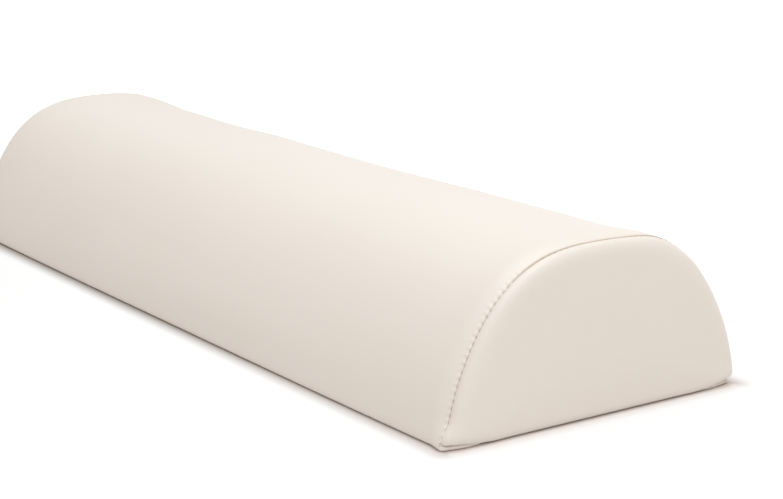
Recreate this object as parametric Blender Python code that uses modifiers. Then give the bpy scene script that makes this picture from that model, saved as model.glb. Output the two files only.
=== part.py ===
# A half-round knee bolster: a foam half-round, softened with fibre wadding, in a zipped cover of
# coated fabric. X runs along the bolster, +Y is its back with the zip, +Z is up, and the origin
# is the middle of the flat base. All sizes are in metres.

import math

import bmesh
import bpy
from mathutils import Matrix, Vector

# The half-round as it is sewn
SEAM_LENGTH = 0.595         # from one end seam to the other
BASE_WIDTH = 0.201
WAIST_HEIGHT = 0.0960       # over most of the length
SHOULDER_POWER = 2.62       # the arch is |y / half width|^2.62 + |z / height|^1.64 = 1
CROWN_POWER = 1.64
FOOT_RADIUS = 0.0025        # where the arch turns into the flat base
END_DEPTH = 0.0075          # how far an end panel stands out past its seam
RIM_WIDTH = 0.0095          # how far an end panel's rounded rim reaches in from the outline
RIM_FLOOR = 0.0050          # the same along the base, where the rim is tighter
END_FLARE = 0.0025          # how much taller the arch is at each end seam
FLARE_RUN = 0.130           # the stretch at each end that swells
FLARE_FOOT = 0.45           # below this share of the height the sides stay straight
SEAM_REACH = 0.010          # how far from an end seam its pull on the cloth is felt
SEAM_DRAW = 0.0025          # how far the front and the crown are drawn in at the seam
DRAW_BACK = 0.075           # the y past which the back isn't drawn in
DRAW_SPAN = 0.035           # the stretch before it over which the seam lets go
CORNER_PUSH = 0.0020        # how far the seam's bottom corners are pushed to the front
CORNER_LIFT = 0.0026        # how far they are lifted off the floor
CORNER_SPAN = 0.030         # how far in from the corner that is felt
CORNER_HEIGHT = 0.016       # and how far up; above it the front is fully drawn in

# Layers, from the outside in
LEATHER = 0.0010            # the coated fabric's thickness
FIT_GAP = 0.0003            # between pieces that touch
WADDING = 0.0040
SEAM_ALLOWANCE = 0.010      # width of the cloth turned in at an end seam
FOLD_RADIUS = 0.0003        # inner radius of the fold at the seam
THREAD = 0.0004             # diameter of the seam and topstitch thread

# The zip along the lower back
ZIP_HEIGHT = 0.020          # of its middle line above the base
COIL_SLIT = 0.0018          # left between the two coils, where the slider's post runs
COIL_WIDTH = 0.0024
COIL_THICK = 0.0018
TAPE_THICK = 0.0006
TAPE_UNDER = 0.0077         # how far a tape runs in under its hem
HEM_CLEAR = 0.0007          # between a hem's fold and the slider
HEM_WIDTH = 0.0083          # from a hem's fold to its cut edge
HEM_LOOP = 0.0005           # space inside the fold
HEM_STOP = 0.0029           # the hems' turned-in legs end this far short of the seam folds
TOPSTITCH_IN = 0.0042       # from a hem's fold to its row of topstitching
WADDING_CLEAR = 0.0010      # between the upper hem's cut edge and the wadding

# The zip's slider and pull
SLIDER_LENGTH = 0.0110
SLIDER_WALL = 0.0009
SLIDER_STOP = 0.0045        # from the left end seam to the slider when the zip is shut
PLATE_THICK = 0.0012
RUN_GAP = 0.0004            # between what slides or turns and what stands still
POST_LENGTH = 0.0030
BRIDGE_LENGTH = 0.0070
BRIDGE_WIDTH = 0.0020
BRIDGE_THICK = 0.0010
PULL_LENGTH = 0.0270        # from the hinge line to the free end
PULL_THICK = 0.0012
PULL_BAR = 0.0012           # width of the bar that the pull turns on
PULL_ARM = 0.0015           # width of the pull on each side of its window
WINDOW_PLAY = 0.0012        # between the window's far edge and the bridge as the pull swings
SIDE_PLAY = 0.0006          # between the window's long edges and the bridge
PULL_CORNER = 0.0026
METAL_EDGE = 0.00012        # rounding of the metal edges

# How finely the curved shapes are divided
ARCH_STEPS = 20
FOOT_STEPS = 2
TURN_STEPS = 2
RIM_STEPS = 3
TAPE_STEPS = 3
CORNER_STEPS = 3
BASE_SHARES = (1.0, 0.86, 0.66, 0.3, -0.3, -0.66, -0.86, -1.0)
ROW_DISTANCES = (0.0072, SEAM_REACH, 0.050, 0.090, FLARE_RUN)   # of the cover's rows from the seam
PAD_SHARES = (0.50, 0.33)   # of the rim's width: a pad's ease inside it, at the seam and halfway out

# Colour, roughness and metallic value of each finish
COVER = ((0.83, 0.76, 0.69), 0.42, 0.0)
THREADS = ((0.72, 0.63, 0.53), 0.6, 0.0)
FIBRE = ((0.90, 0.90, 0.88), 0.95, 0.0)
FOAM = ((0.86, 0.84, 0.74), 0.9, 0.0)
TAPE = ((0.80, 0.74, 0.66), 0.75, 0.0)
COIL = ((0.85, 0.80, 0.72), 0.45, 0.0)
METAL = ((0.62, 0.60, 0.56), 0.30, 1.0)

HALF_SEAM = SEAM_LENGTH / 2
COIL_EDGE = COIL_SLIT / 2 + COIL_WIDTH
HEM_EDGE = COIL_EDGE + RUN_GAP + SLIDER_WALL + HEM_CLEAR    # from the middle line to a hem's fold
TAPE_DEPTH = 2 * LEATHER + HEM_LOOP + FIT_GAP           # from the skin in to the zip's tapes
FLANGE_X = HALF_SEAM - (FIT_GAP + LEATHER) / 2          # middle of the cover's turned-in edge
FOLD = FOLD_RADIUS + LEATHER / 2                        # middle radius of a seam fold
FLANGE_INSET = LEATHER / 2 + FOLD + SEAM_ALLOWANCE
INNER_X = FLANGE_X - LEATHER / 2 - 2 * FIT_GAP          # where everything inside ends
HEM_X = FLANGE_X - FOLD - HEM_STOP                      # where the hems' turned-in legs end
BODY_ROWS = [HEM_X] + [HALF_SEAM - distance for distance in ROW_DISTANCES]
LAYER_XS = [-INNER_X] + [-x for x in BODY_ROWS] + BODY_ROWS[::-1] + [INNER_X]
TOP_PLATE = FIT_GAP + COIL_THICK + RUN_GAP              # underside of the slider's top plate
HINGE_HEIGHT = TOP_PLATE + PLATE_THICK + RUN_GAP + PULL_THICK / 2
BRIDGE_TOP = HINGE_HEIGHT + PULL_THICK / 2 + RUN_GAP + BRIDGE_THICK


def smoothstep(value):
    value = min(max(value, 0.0), 1.0)
    return value * value * (3 - 2 * value)


def sewn(x, y, z):
    """Move a point of the plain half-round to where the sewing holds it."""
    distance = HALF_SEAM - abs(x)
    swell = END_FLARE * smoothstep(1 - max(distance, 0.0) / FLARE_RUN)
    high = smoothstep((z / WAIST_HEIGHT - FLARE_FOOT) / (1 - FLARE_FOOT))
    scale = 1 + swell * high / WAIST_HEIGHT
    above = smoothstep(z / CORNER_HEIGHT)
    gather = max(1 - abs(distance) / SEAM_REACH, 0.0) ** 2
    draw = SEAM_DRAW * gather * above * smoothstep((DRAW_BACK - y) / DRAW_SPAN)
    near = smoothstep(1 - abs(distance) / SEAM_REACH)
    side = smoothstep((abs(y) - BASE_WIDTH / 2 + CORNER_SPAN) / CORNER_SPAN)
    corner = near * side * (1 - above)
    return Vector((x, y * (scale - 2 * draw / BASE_WIDTH) - CORNER_PUSH * corner,
                   z * (scale - draw / WAIST_HEIGHT) + CORNER_LIFT * corner))


def arch_point(share, inset, floor):
    """y and z on the arch, from the back foot at share 0 over the top to the front at 1."""
    half = BASE_WIDTH / 2 - inset
    top = WAIST_HEIGHT - inset
    lowest = math.asin(((floor + FOOT_RADIUS) / top) ** (CROWN_POWER / 2))
    angle = lowest + share * (math.pi - 2 * lowest)
    across = math.cos(angle)
    y = math.copysign(half * abs(across) ** (2 / SHOULDER_POWER), across)
    return y, top * math.sin(angle) ** (2 / CROWN_POWER)


def section_point(station, inset, floor):
    """y and z of a named place on the section, this far in from the outline and off the base."""
    place, value = station
    if place == "arch":
        return arch_point(value, inset, floor)
    foot_y = abs(arch_point(1.0, inset, floor)[0]) - FOOT_RADIUS
    if place == "base":
        return value * foot_y, floor
    front = -1 if place == "front foot" else 1
    return (front * (foot_y + FOOT_RADIUS * math.cos(value)),
            floor + FOOT_RADIUS * (1 - math.sin(value)))


def foot_stations(place, falling):
    angles = [math.pi / 2 * step / FOOT_STEPS for step in range(1, FOOT_STEPS)]
    return [(place, angle) for angle in (angles if falling else reversed(angles))]


def under_stations():
    """Places from the front foot under the base to the back foot."""
    base = [("base", -share) for share in BASE_SHARES]
    return foot_stations("front foot", True) + base + foot_stations("back foot", False)


class Outline:
    """The section's outer outline, measured along its length from the zip's middle line."""

    def __init__(self, fine=400):
        arch = [("arch", step / fine) for step in range(fine + 1)]
        self.shares = [value for place, value in arch]
        stations = arch + under_stations() + arch[:1]
        self.points = [Vector(section_point(station, 0, 0)) for station in stations]
        self.lengths = [0.0]
        for first, second in zip(self.points, self.points[1:]):
            self.lengths.append(self.lengths[-1] + (second - first).length)
        self.whole = self.lengths[-1]
        above = next(i for i, point in enumerate(self.points) if point.y > ZIP_HEIGHT)
        low, high = self.points[above - 1].y, self.points[above].y
        part = (ZIP_HEIGHT - low) / (high - low)
        self.zip_length = self.lengths[above - 1] * (1 - part) + self.lengths[above] * part
        self.arch_length = self.lengths[fine]

    def find(self, distance):
        length = (distance + self.zip_length) % self.whole
        index = next(i for i, end in enumerate(self.lengths[1:]) if end >= length)
        span = self.lengths[index + 1] - self.lengths[index]
        return index, (length - self.lengths[index]) / span

    def arch_share(self, distance):
        index, part = self.find(distance)
        return self.shares[index] + part * (self.shares[index + 1] - self.shares[index])

    def point(self, distance, depth):
        """y and z this far along the outline and this deep below the skin."""
        index, part = self.find(distance)
        first, second = self.points[index], self.points[index + 1]
        along = (second - first).normalized()
        place = first.lerp(second, part)
        return place.x - along.y * depth, place.y + along.x * depth


OUTLINE = Outline()


def arch_stations(start, end, steps):
    """Places spaced evenly along the arch, by distance from the zip's middle line."""
    lengths = [start + (end - start) * step / steps for step in range(steps + 1)]
    return [("arch", min(OUTLINE.arch_share(length), 1.0)) for length in lengths]


HEM_LINE = HEM_EDGE + LEATHER + HEM_LOOP / 2            # where a hem's flat part begins
FRONT_LENGTH = OUTLINE.arch_length - OUTLINE.zip_length
ARCH = arch_stations(HEM_LINE, FRONT_LENGTH, ARCH_STEPS)
BELOW_ZIP = [0.0, OUTLINE.arch_share(-HEM_EDGE - TOPSTITCH_IN), OUTLINE.arch_share(-HEM_LINE)]
SKIN = ARCH + under_stations() + [("arch", share) for share in BELOW_ZIP]
RING = SKIN + [("arch", OUTLINE.arch_share(0.0))]


def material(name, color, roughness, metallic):
    made = bpy.data.materials.new(name)
    made.use_nodes = True
    shader = made.node_tree.nodes["Principled BSDF"]
    shader.inputs["Base Color"].default_value = (*color, 1)
    shader.inputs["Roughness"].default_value = roughness
    shader.inputs["Metallic"].default_value = metallic
    made.diffuse_color = (*color, 1)
    return made


def add_object(name, data, collection, finish):
    made = bpy.data.objects.new(name, data)
    collection.objects.link(made)
    made.data.materials.append(material(name, *finish))
    return made


def thicken(thing, thickness):
    solidify = thing.modifiers.new("Thickness", "SOLIDIFY")
    solidify.thickness = thickness
    solidify.offset = 0
    solidify.use_even_offset = True


def loft(name, rows, ring=False, caps=()):
    """A skin over rows of points; a missing point leaves a notch, and caps closes named rows."""
    shape = bmesh.new()
    grid = [[point and shape.verts.new(point) for point in row] for row in rows]
    columns = len(grid[0])
    for low, high in zip(grid, grid[1:]):
        for column in range(columns if ring else columns - 1):
            after = (column + 1) % columns
            corners = [low[column], low[after], high[after], high[column]]
            if None not in corners:
                shape.faces.new(corners)
    for row in caps:
        shape.faces.new(grid[row])
    bmesh.ops.recalc_face_normals(shape, faces=shape.faces)
    mesh = bpy.data.meshes.new(name)
    shape.to_mesh(mesh)
    shape.free()
    mesh.shade_smooth()
    mesh.set_sharp_from_angle(angle=math.radians(40))
    return mesh


def ring_row(x, inset, floor, stations):
    return [sewn(x, *section_point(station, inset, floor)) for station in stations]


def prism(name, profile, start, end, axis="X"):
    """A flat profile of y, z points drawn out along X, or of x, z points along Y."""
    def place(point, along):
        return (along, *point) if axis == "X" else (point[0], along, point[1])
    return loft(name, [[Vector(place(point, along)) for point in profile] for along in (start, end)],
                ring=True, caps=(0, 1))


def tube(name, points, diameter, ring=False):
    curve = bpy.data.curves.new(name, "CURVE")
    curve.dimensions = "3D"
    curve.bevel_depth = diameter / 2
    curve.bevel_resolution = 0
    curve.use_fill_caps = True
    spline = curve.splines.new("POLY")
    spline.points.add(len(points) - 1)
    for slot, point in zip(spline.points, points):
        slot.co = (*point, 1)
    spline.use_cyclic_u = ring
    return curve


def fold_turn(step):
    """Sine and one minus cosine of a step through a quarter turn."""
    angle = math.pi / 2 * step / TURN_STEPS
    return math.sin(angle), 1 - math.cos(angle)


def wrap_panel(parts):
    """The long panel: over the arch, under the base, and turned in at the seams and the zip."""
    skin = LEATHER / 2
    end_rows = [(FLANGE_X, FLANGE_INSET)]
    for step in range(TURN_STEPS, -1, -1):
        out, down = fold_turn(step)
        end_rows.append((FLANGE_X - FOLD + FOLD * out, skin + FOLD * down))
    half_rows = [(x, inset, False) for x, inset in end_rows] + [(x, skin, True) for x in BODY_ROWS]
    turn_radius = (LEATHER + HEM_LOOP) / 2

    def hem(side):
        """Distance along the outline and depth, from the cut edge to the end of the fold."""
        places = [(HEM_EDGE + HEM_WIDTH, skin + 2 * turn_radius),
                  (HEM_LINE, skin + 2 * turn_radius)]
        for step in range(1, TURN_STEPS + 1):
            angle = math.pi * step / (TURN_STEPS + 1)
            places.append((HEM_LINE - turn_radius * math.sin(angle),
                           skin + turn_radius * (1 + math.cos(angle))))
        return [(side * along, depth) for along, depth in places]

    def row(x, inset, hemmed):
        def turned(side):
            places = hem(side)
            if not hemmed:
                return [None] * len(places)
            return [sewn(x, *OUTLINE.point(along, depth)) for along, depth in places]
        return turned(1) + ring_row(x, inset, inset, SKIN) + turned(-1)[::-1]

    rows = [row(-x, inset, hemmed) for x, inset, hemmed in half_rows]
    rows += [row(x, inset, hemmed) for x, inset, hemmed in reversed(half_rows)]
    panel = add_object("wrap_panel", loft("wrap_panel", rows), parts, COVER)
    thicken(panel, LEATHER)


def end_panel(parts, name, side):
    """An end panel: turned in at the seam, rounded over its rim, flat across its face."""
    skin = LEATHER / 2
    flange_x = HALF_SEAM + (FIT_GAP + LEATHER) / 2
    rows = [(flange_x, FLANGE_INSET, FLANGE_INSET)]
    for step in range(TURN_STEPS, 0, -1):
        out, down = fold_turn(step)
        rows.append((flange_x + FOLD * (1 - out), skin + FOLD * down, skin + FOLD * down))
    rim_x = flange_x + FOLD
    rim_depth = HALF_SEAM + END_DEPTH - skin - rim_x
    for step in range(RIM_STEPS + 1):
        angle = math.pi / 2 * step / RIM_STEPS
        inward = 1 - math.cos(angle)
        rows.append((rim_x + rim_depth * math.sin(angle), skin + RIM_WIDTH * inward,
                     skin + RIM_FLOOR * inward))
    rings = [ring_row(side * x, inset, floor, RING) for x, inset, floor in rows]
    mesh = loft(name, rings, ring=True, caps=(len(rings) - 1,))
    thicken(add_object(name, mesh, parts, COVER), LEATHER)


def seam_thread(parts, name, side):
    """The lockstitch lying in the groove between the two folds of an end seam."""
    reach = FOLD_RADIUS + LEATHER
    gap_corner = reach + FIT_GAP / 2
    clear = reach + THREAD / 2 + FIT_GAP
    depth = reach - math.sqrt(clear ** 2 - gap_corner ** 2)
    points = ring_row(side * HALF_SEAM, depth, depth, RING)
    add_object(name, tube(name, points, THREAD, ring=True), parts, THREADS)


def layer_rows(stations, inset, floor):
    """Rows of an inner layer, at the cover's own rows so that both swell alike."""
    return [ring_row(x, inset, floor, stations) for x in LAYER_XS]


def filling(parts):
    """The foam half-round, the wadding over its arch and the wadding pads at its ends."""
    inner = LEATHER + FIT_GAP
    middle = inner + (FIT_GAP + WADDING) / 2
    foam_inset = inner + WADDING + 2 * FIT_GAP
    start = OUTLINE.arch_share(HEM_EDGE + HEM_WIDTH + WADDING_CLEAR)
    over = [("arch", start)] + [place for place in ARCH if place[1] > start]
    sheet = loft("fibre_wrap", layer_rows(over, middle, inner)[1:-1])
    thicken(add_object("fibre_wrap", sheet, parts, FIBRE), WADDING)

    rows = layer_rows(RING, foam_inset, inner)
    eased = ring_row(INNER_X, FLANGE_INSET, FLANGE_INSET, RING)
    rows = [[Vector((-p.x, p.y, p.z)) for p in eased]] + rows[1:-1] + [eased]
    core = loft("foam_core", rows, ring=True, caps=(0, len(rows) - 1))
    add_object("foam_core", core, parts, FOAM)

    hole = FLANGE_INSET + 2 * FIT_GAP
    past = HALF_SEAM + FIT_GAP / 2 + LEATHER + FIT_GAP
    face = HALF_SEAM + END_DEPTH - LEATHER - FIT_GAP
    near_seam, halfway = (inner + share * RIM_WIDTH for share in PAD_SHARES)
    pad_rows = [(INNER_X + FIT_GAP, hole), (past, hole), (past, near_seam),
                ((past + face) / 2, halfway), (face, inner + RIM_WIDTH)]
    for name, side in (("left_fibre_pad", -1), ("right_fibre_pad", 1)):
        rings = [ring_row(side * x, inset, inset, RING) for x, inset in pad_rows]
        mesh = loft(name, rings, ring=True, caps=(0, len(rings) - 1))
        add_object(name, mesh, parts, FIBRE)


def zip_tapes(parts):
    """Both halves of the zip: tape, coil and the topstitching that holds the hem to the tape."""
    slit = COIL_SLIT / 2
    width = HEM_EDGE + TAPE_UNDER - slit
    reaches = [slit + width * step / TAPE_STEPS for step in range(TAPE_STEPS + 1)]
    coil_low = TAPE_DEPTH - FIT_GAP
    coil_high = coil_low - COIL_THICK
    round_off = COIL_THICK / 4
    coil = [(slit, coil_low), (COIL_EDGE, coil_low), (COIL_EDGE, coil_high + round_off),
            (COIL_EDGE - round_off, coil_high), (slit + round_off, coil_high),
            (slit, coil_high + round_off)]
    for half, side in (("upper", 1), ("lower", -1)):
        tape = [(reach, TAPE_DEPTH) for reach in reaches]
        tape += [(reach, TAPE_DEPTH + TAPE_THICK) for reach in reversed(reaches)]
        for piece, profile, finish in (("tape", tape, TAPE), ("coil", coil, COIL)):
            name = f"zip_{piece}_{half}"
            places = [OUTLINE.point(side * along, depth) for along, depth in profile]
            rows = [[sewn(x, *place) for place in places] for x in LAYER_XS]
            mesh = loft(name, rows, ring=True, caps=(0, len(rows) - 1))
            add_object(name, mesh, parts, finish)
        name = f"zip_topstitch_{half}"
        y, z = OUTLINE.point(side * (HEM_EDGE + TOPSTITCH_IN), -FIT_GAP - THREAD / 2)
        line = [sewn(x, y, z) for x in LAYER_XS[1:-1]]
        add_object(name, tube(name, line, THREAD), parts, THREADS)


def zip_frame():
    """Where the slider stands: its x runs to the left end, y up the tapes and z out of them."""
    y, z = OUTLINE.point(0.0, TAPE_DEPTH)
    above = Vector(OUTLINE.point(FIT_GAP, TAPE_DEPTH))
    up = (above - Vector((y, z))).normalized()
    frame = Matrix.Identity(4)
    frame.col[0].xyz = (-1, 0, 0)
    frame.col[1].xyz = (0, up.x, up.y)
    frame.col[2].xyz = (0, up.y, -up.x)
    frame.col[3].xyz = (-HALF_SEAM + SLIDER_STOP + SLIDER_LENGTH / 2, y, z)
    return frame


def empty(name, collection, parent=None, location=(0, 0, 0)):
    made = bpy.data.objects.new(name, None)
    collection.objects.link(made)
    made.parent = parent
    made.location = location
    return made


def join_cutter(target, name, mesh, cutters):
    """Join a helper solid to a piece; the helper stays hidden beside it."""
    helper = bpy.data.objects.new(name, mesh)
    cutters.objects.link(helper)
    helper.parent = target.parent
    helper.hide_render = True
    helper.display_type = "WIRE"
    union = target.modifiers.new(name, "BOOLEAN")
    union.operation = "UNION"
    union.solver = "EXACT"
    union.object = helper


def round_edges(thing, width):
    bevel = thing.modifiers.new("Rounded edges", "BEVEL")
    bevel.width = width
    bevel.segments = 1
    bevel.limit_method = "ANGLE"
    bevel.angle_limit = math.radians(40)


def zip_slider(parts, cutters, stand):
    """The slider: a top plate with side walls, a bottom plate, the post and the pull's bridge."""
    inner = COIL_EDGE + RUN_GAP
    outer = inner + SLIDER_WALL
    half = SLIDER_LENGTH / 2
    shell = [(-outer, RUN_GAP), (-outer, TOP_PLATE + PLATE_THICK), (outer, TOP_PLATE + PLATE_THICK),
             (outer, RUN_GAP), (inner, RUN_GAP), (inner, TOP_PLATE), (-inner, TOP_PLATE),
             (-inner, RUN_GAP)]
    body = add_object("zip_slider_body", prism("zip_slider_body", shell, -half, half), parts, METAL)
    body.parent = stand
    low = -TAPE_THICK - RUN_GAP
    plate = [(-outer, low - PLATE_THICK), (outer, low - PLATE_THICK), (outer, low), (-outer, low)]
    join_cutter(body, "slider_bottom_plate", prism("slider_bottom_plate", plate, -half, half), cutters)
    post_half = COIL_SLIT / 2 - FIT_GAP
    sink = PLATE_THICK / 2
    post = [(-post_half, low - sink), (post_half, low - sink), (post_half, TOP_PLATE + sink),
            (-post_half, TOP_PLATE + sink)]
    join_cutter(body, "slider_post", prism("slider_post", post, half - POST_LENGTH, half - sink), cutters)
    out = BRIDGE_LENGTH / 2
    into = out - BRIDGE_THICK
    foot = TOP_PLATE + PLATE_THICK - sink
    under = BRIDGE_TOP - BRIDGE_THICK
    chamfer = BRIDGE_THICK / 2
    bridge = [(-out, foot), (-out, BRIDGE_TOP - chamfer), (-out + chamfer, BRIDGE_TOP),
              (out - chamfer, BRIDGE_TOP), (out, BRIDGE_TOP - chamfer), (out, foot), (into, foot),
              (into, under), (-into, under), (-into, foot)]
    arch = prism("slider_bridge", bridge, -BRIDGE_WIDTH / 2, BRIDGE_WIDTH / 2, axis="Y")
    join_cutter(body, "slider_bridge", arch, cutters)
    round_edges(body, METAL_EDGE)


def rounded_outline(start, end, width, corner):
    """A rectangle from start to end along X with its four corners rounded."""
    points = []
    for turn, (x, y) in enumerate(((end - corner, width / 2 - corner),
                                   (start + corner, width / 2 - corner),
                                   (start + corner, corner - width / 2),
                                   (end - corner, corner - width / 2))):
        for step in range(CORNER_STEPS + 1):
            angle = math.pi / 2 * (turn + step / CORNER_STEPS)
            points.append((x + corner * math.cos(angle), y + corner * math.sin(angle)))
    return points


def zip_pull(parts, hinge):
    """The pull tab, lying flat towards the right end, with its bar under the bridge."""
    bar = PULL_BAR / 2
    window_end = math.hypot(BRIDGE_LENGTH / 2, BRIDGE_TOP - HINGE_HEIGHT) + WINDOW_PLAY
    window_width = BRIDGE_WIDTH + 2 * SIDE_PLAY
    outlines = [rounded_outline(-PULL_LENGTH, bar, window_width + 2 * PULL_ARM, PULL_CORNER),
                rounded_outline(-window_end, -bar, window_width, SIDE_PLAY)]
    flat = bpy.data.curves.new("pull_outline", "CURVE")
    flat.dimensions = "2D"
    flat.fill_mode = "BOTH"
    flat.extrude = PULL_THICK / 2
    for outline in outlines:
        spline = flat.splines.new("POLY")
        spline.points.add(len(outline) - 1)
        for slot, point in zip(spline.points, outline):
            slot.co = (*point, 0, 1)
        spline.use_cyclic_u = True
    guide = bpy.data.objects.new("pull_outline", flat)
    parts.objects.link(guide)
    bpy.context.view_layer.update()
    evaluated = guide.evaluated_get(bpy.context.evaluated_depsgraph_get())
    mesh = bpy.data.meshes.new_from_object(evaluated)
    bpy.data.objects.remove(guide)
    shape = bmesh.new()
    shape.from_mesh(mesh)
    bmesh.ops.remove_doubles(shape, verts=shape.verts, dist=1e-6)
    bmesh.ops.dissolve_limit(shape, angle_limit=math.radians(1), verts=shape.verts, edges=shape.edges)
    bmesh.ops.recalc_face_normals(shape, faces=shape.faces)
    shape.to_mesh(mesh)
    shape.free()
    pull = add_object("zip_pull_tab", mesh, parts, METAL)
    pull.parent = hinge
    round_edges(pull, METAL_EDGE)


def main():
    for old in list(bpy.data.objects):
        bpy.data.objects.remove(old, do_unlink=True)
    parts = bpy.data.collections.new("knee_bolster")
    cutters = bpy.data.collections.new("cutters")
    for collection in (parts, cutters):
        bpy.context.scene.collection.children.link(collection)
    wrap_panel(parts)
    for name, side in (("left", -1), ("right", 1)):
        end_panel(parts, f"{name}_end_panel", side)
        seam_thread(parts, f"{name}_seam_thread", side)
    filling(parts)
    zip_tapes(parts)
    stand = empty("slider_stand", cutters)
    stand.matrix_world = zip_frame()
    hinge = empty("pull_hinge", cutters, stand, (0, 0, HINGE_HEIGHT))
    zip_slider(parts, cutters, stand)
    zip_pull(parts, hinge)
    bpy.context.view_layer.update()
    print("slider middle", [round(v, 5) for v in stand.matrix_world.translation])
    print("hinge line", [round(v, 5) for v in hinge.matrix_world.translation],
          "along", [round(v, 5) for v in hinge.matrix_world.col[1].xyz])


main()
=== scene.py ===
import math

import bmesh
import bpy
import numpy as np
from mathutils import Matrix, Quaternion, Vector, noise
from mathutils.kdtree import KDTree


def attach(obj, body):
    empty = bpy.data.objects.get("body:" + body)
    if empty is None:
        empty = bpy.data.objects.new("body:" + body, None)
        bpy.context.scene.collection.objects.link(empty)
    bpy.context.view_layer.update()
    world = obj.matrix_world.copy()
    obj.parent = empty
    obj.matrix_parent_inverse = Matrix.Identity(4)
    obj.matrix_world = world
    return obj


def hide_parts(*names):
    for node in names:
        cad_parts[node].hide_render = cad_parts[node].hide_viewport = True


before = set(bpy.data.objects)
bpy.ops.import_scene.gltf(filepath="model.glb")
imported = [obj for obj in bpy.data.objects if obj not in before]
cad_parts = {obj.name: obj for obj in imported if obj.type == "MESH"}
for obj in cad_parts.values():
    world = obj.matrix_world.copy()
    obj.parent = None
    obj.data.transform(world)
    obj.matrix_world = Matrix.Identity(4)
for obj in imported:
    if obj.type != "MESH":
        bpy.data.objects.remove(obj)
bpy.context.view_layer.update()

# X runs along the bolster, +Y is the back with the zip, +Z is up; all lengths are in metres.
scene = bpy.context.scene
scene.view_settings.view_transform = "Standard"

# The camera stands where the photograph was taken.
photoCamera = {"place": (1.0228, -0.6256, 0.3206), "azimuth": 55.63, "elevation": 13.54,
               "roll": -0.34, "lens": 86.07, "sensor": 36.0, "clip": (0.01, 50)}


def placeCamera():
    view = photoCamera
    azimuth, elevation, roll = (math.radians(view[key]) for key in ("azimuth", "elevation", "roll"))
    back = Vector((math.sin(azimuth) * math.cos(elevation),
                   -math.cos(azimuth) * math.cos(elevation), math.sin(elevation)))
    lens = bpy.data.cameras.new("photoCamera")
    lens.lens, lens.sensor_width = view["lens"], view["sensor"]
    lens.clip_start, lens.clip_end = view["clip"]
    camera = bpy.data.objects.new("photoCamera", lens)
    camera.rotation_mode = "QUATERNION"
    camera.rotation_quaternion = (-back).to_track_quat("-Z", "Y") @ Quaternion((0, 0, 1), roll)
    camera.location = view["place"]
    scene.collection.objects.link(camera)
    scene.camera = camera


placeCamera()

# The bolster's form follows the CAD; its seams are drawn in as the photograph shows them.
form = {
    "seamLength": 0.595, "baseWidth": 0.201, "waistHeight": 0.0960,
    "shoulderPower": 2.62, "crownPower": 1.64, "footRadius": 0.0025,
    "endDepth": 0.0075, "rimWidth": 0.0095, "rimFloor": 0.0050,
    "endFlare": 0.0025, "flareRun": 0.130, "flareFoot": 0.45,
    "seamReach": 0.010, "seamDraw": (0.0016, 0.0033), "drawBack": 0.048, "drawSpan": 0.035,
    "cornerPush": 0.0018, "cornerSpan": 0.030, "cornerHeight": 0.017,
    "cornerLift": 0.0015, "liftSpan": 0.038, "liftReach": 0.0011, "liftRamp": 0.0006,
    "lipOut": 0.0042, "lipMiddle": 0.083, "lipSpan": 0.025, "lipReach": 0.008,
    "frontBow": 0.0017, "bowFrom": 0.060, "bowHeight": 0.060, "bowPower": 4,
    "lipRise": 0.0024, "riseStart": 0.0010, "riseReach": 0.0028, "roll": 0.0014,
    "leather": 0.0010, "zipHeight": 0.020, "coreHeight": 0.03,
    "outlineSteps": 4000, "tangentStep": 0.0004,
}
halfSeam = form["seamLength"] / 2
skinMiddle = form["leather"] / 2


def smoothStep(value):
    value = min(max(value, 0.0), 1.0)
    return value * value * (3 - 2 * value)


def archPoint(share, inset, floor):  # share 0 is the back foot, 1 the front one
    half, top = form["baseWidth"] / 2 - inset, form["waistHeight"] - inset
    lowest = math.asin(((floor + form["footRadius"]) / top) ** (form["crownPower"] / 2))
    angle = lowest + share * (math.pi - 2 * lowest)
    across = math.cos(angle)
    y = math.copysign(half * abs(across) ** (2 / form["shoulderPower"]), across)
    return y, top * math.sin(angle) ** (2 / form["crownPower"])


def ringPoint(turn, inset, floor):
    # turn 0-1 is the arch, 1-2 the front foot, 2-3 the base and 3-4 the back foot
    turn = turn % 4
    if turn <= 1:
        return archPoint(turn, inset, floor)
    radius = form["footRadius"]
    footY = abs(archPoint(1.0, inset, floor)[0]) - radius
    if 2 <= turn <= 3:
        return footY * (2 * turn - 5), floor
    side, quarter = (-1, turn - 1) if turn < 2 else (1, 4 - turn)
    angle = quarter * math.pi / 2
    return side * (footY + radius * math.cos(angle)), floor + radius * (1 - math.sin(angle))


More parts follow.
